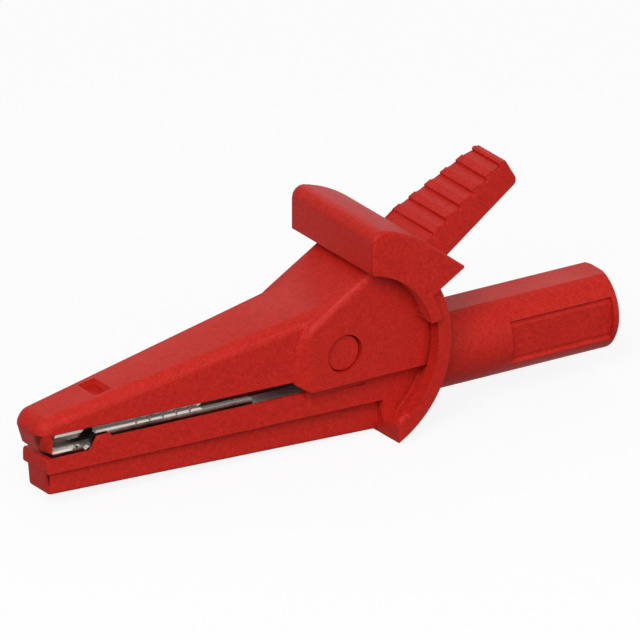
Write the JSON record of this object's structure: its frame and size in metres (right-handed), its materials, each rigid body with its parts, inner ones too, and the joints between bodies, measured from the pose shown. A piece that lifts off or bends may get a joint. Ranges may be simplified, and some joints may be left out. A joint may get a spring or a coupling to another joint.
{
  "type": "insulated crocodile clip",
  "caption": "Insulated crocodile clip with flat closed jaws, hooded thumb lever, round hand guard and a socket barrel for a shrouded 4 mm plug.",
  "frame": {"origin": "centre of the bounding box in plan, at the height of the lowest point, the tail of the guard", "axes": "+X from the jaw tips to the socket, +Y along the hinge, +Z the way the upper jaw opens"},
  "size_m": [0.0852, 0.019, 0.0322],
  "materials": {
    "body_plastic": "fine matte grain, red",
    "lever_plastic": "fine matte grain, red",
    "cap_plastic": "fine matte grain, red",
    "jaw_steel": "nickel plated",
    "sleeve_brass": "nickel plated",
    "small_steel": "zinc plated",
    "natural_nylon": "natural"
  },
  "bodies": {
    "clip_body": {"body_shell": "body_plastic", "lower_jaw": "jaw_steel", "socket_sleeve": "sleeve_brass", "socket_screw": "small_steel", "pivot_axle": "small_steel", "pivot_cap_near": "cap_plastic", "pivot_cap_far": "cap_plastic", "spring_bush": "natural_nylon", "torsion_spring": "small_steel"},
    "lever": {"lever_shell": "lever_plastic", "upper_jaw": "jaw_steel"}
  },
  "joints": [
    {"name": "lever_hinge", "type": "hinge", "parent": "clip_body", "child": "lever", "pos_m": [0.00065, 0, 0.01291], "axis": [0, 1, 0], "range_deg": [0, 26], "stiffness_Nm_per_rad": 0.3, "springref_deg": -38.39, "deforming": ["torsion_spring"]}
  ]
}
